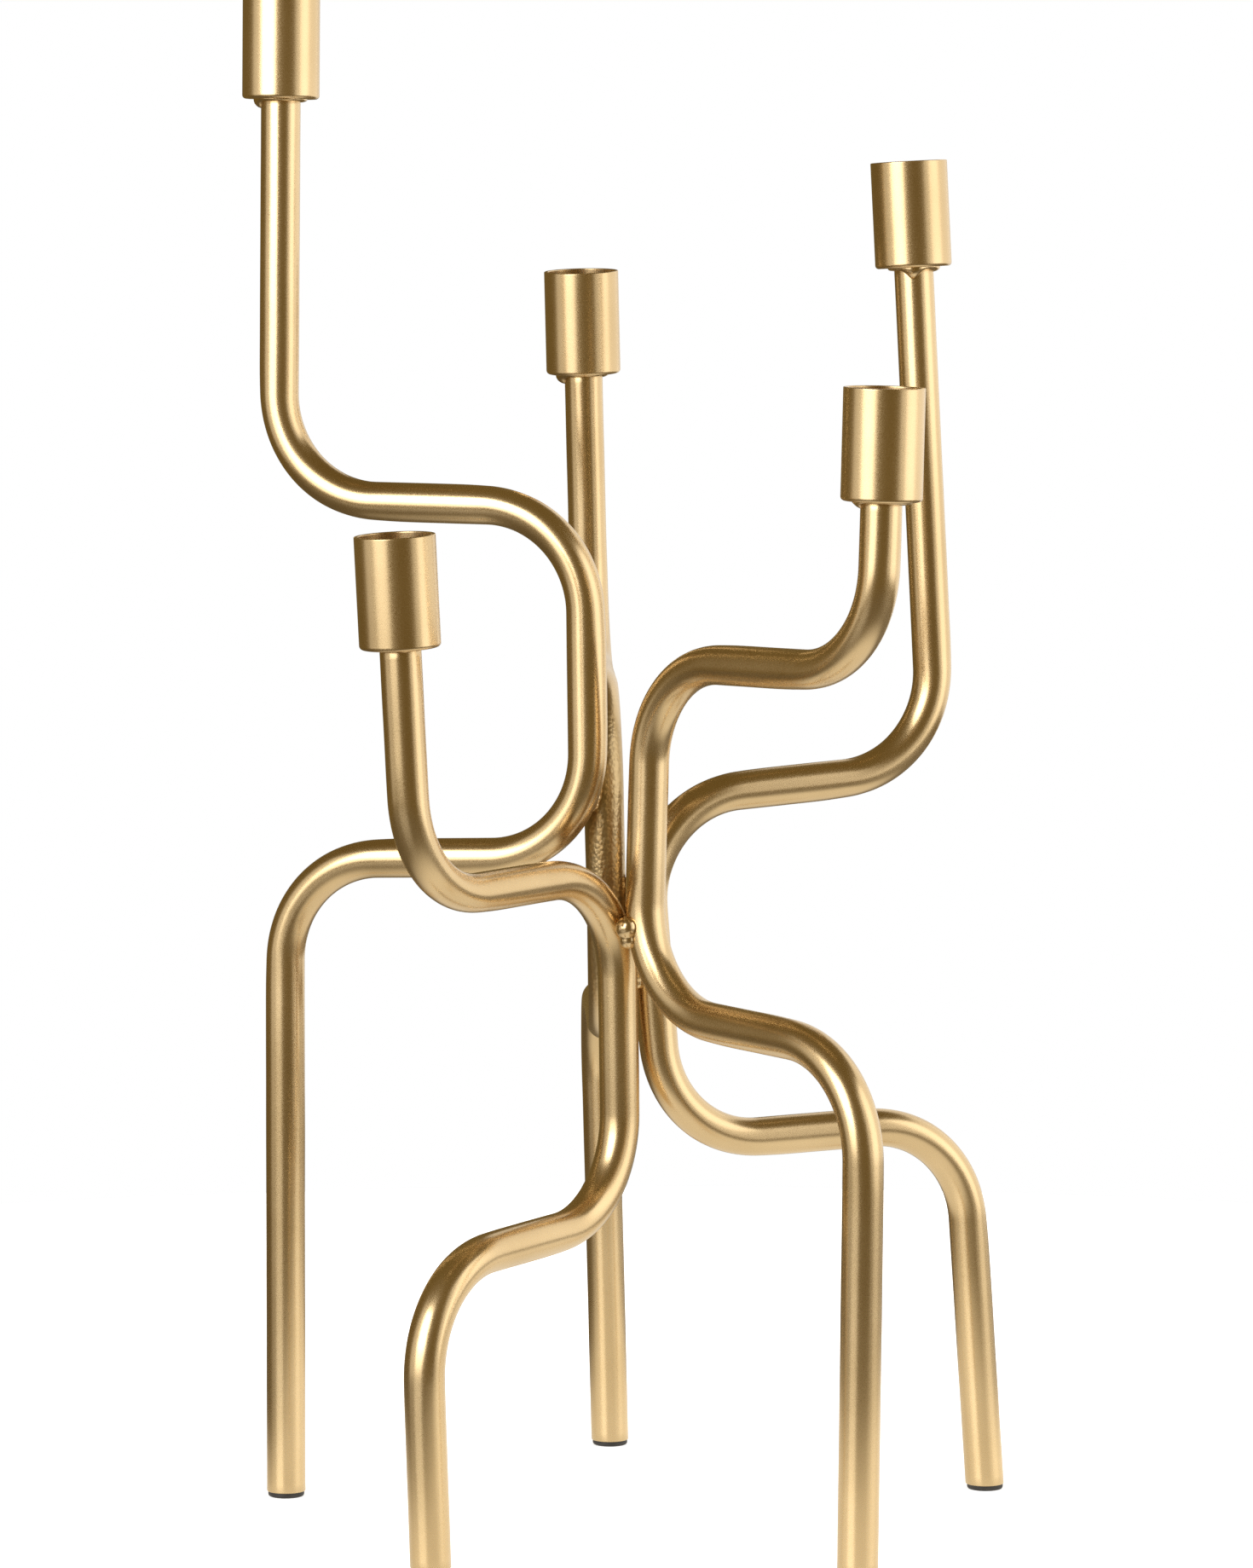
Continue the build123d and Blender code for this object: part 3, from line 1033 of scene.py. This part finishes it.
# A name, the bearing in degrees from the viewer's side (positive to the right), then
# distance, height, width and tallness in metres, radiance, and the height aimed at.
SOFTBOXES = [
    ("key_left", -39, 1.5, 1.00, 1.15, 1.16, 3.4, 1.00),
    ("key_left_middle", -40, 1.5, 0.28, 1.05, 0.28, 1.6, 0.28),
    ("key_left_low", -42, 1.5, 0.07, 1.0, 0.14, 1.3, 0.07),
    ("wing_left", -76, 1.5, 0.70, 0.70, 1.60, 0.45, 0.70),
    ("wall_right_edge", 51, 1.4, 0.70, 0.32, 1.5, 0.55, 0.70),
    ("wall_right", 77, 1.3, 0.70, 0.80, 1.5, 1.22, 0.70),
    ("wall_far_right", 118, 1.35, 0.70, 1.2, 1.5, 0.72, 0.70),
    ("wall_back_right", 158, 1.4, 0.70, 0.9, 1.5, 0.60, 0.70),
    ("top", 0, 0.3, 2.2, 1.6, 1.6, 3.0, 0.0),
]


def softbox(name, bearing, distance, height, width, tall, radiance, aim_height):
    """An area light that faces the object's middle line at the height aimed at."""
    lamp = bpy.data.lights.new(name, "AREA")
    lamp.shape = "RECTANGLE"
    lamp.size, lamp.size_y = width, tall
    lamp.energy = LAMP_SPREAD * width * tall * radiance
    panel = bpy.data.objects.new(name, lamp)
    angle = math.radians(bearing)
    panel.location = Vector((math.sin(angle) * distance, -math.cos(angle) * distance, height))
    aim = Vector((0, 0, aim_height)) - panel.location
    panel.rotation_euler = aim.to_track_quat("-Z", "Y").to_euler()
    panel.visible_camera = False
    bpy.context.scene.collection.objects.link(panel)
    return panel


panels = {row[0]: softbox(*row) for row in SOFTBOXES}
panels["top"].visible_glossy = False
print(len(panels), "softboxes")

# %% [markdown]
# ## Camera
#
# The candelabra is seen from a little above, from nearly two metres away, with a long lens
# that keeps the legs upright.  The camera could be aimed by a constraint, but plain numbers
# are easier to move about.

# %% Camera
CAMERA_PLACE = (-0.0026, -1.8935, 0.3826)
CAMERA_TILT = 85.75
CAMERA_TURN = -0.059
CAMERA_LENS = 132.8
SENSOR = 36.0
lens = bpy.data.cameras.new("view_camera")
lens.lens = CAMERA_LENS
lens.sensor_width = SENSOR
camera = bpy.data.objects.new("view_camera", lens)
camera.location = CAMERA_PLACE
camera.rotation_euler = (math.radians(CAMERA_TILT), 0, math.radians(CAMERA_TURN))
bpy.context.scene.collection.objects.link(camera)
bpy.context.scene.camera = camera
print("camera", CAMERA_PLACE, "with a", CAMERA_LENS, "mm lens")
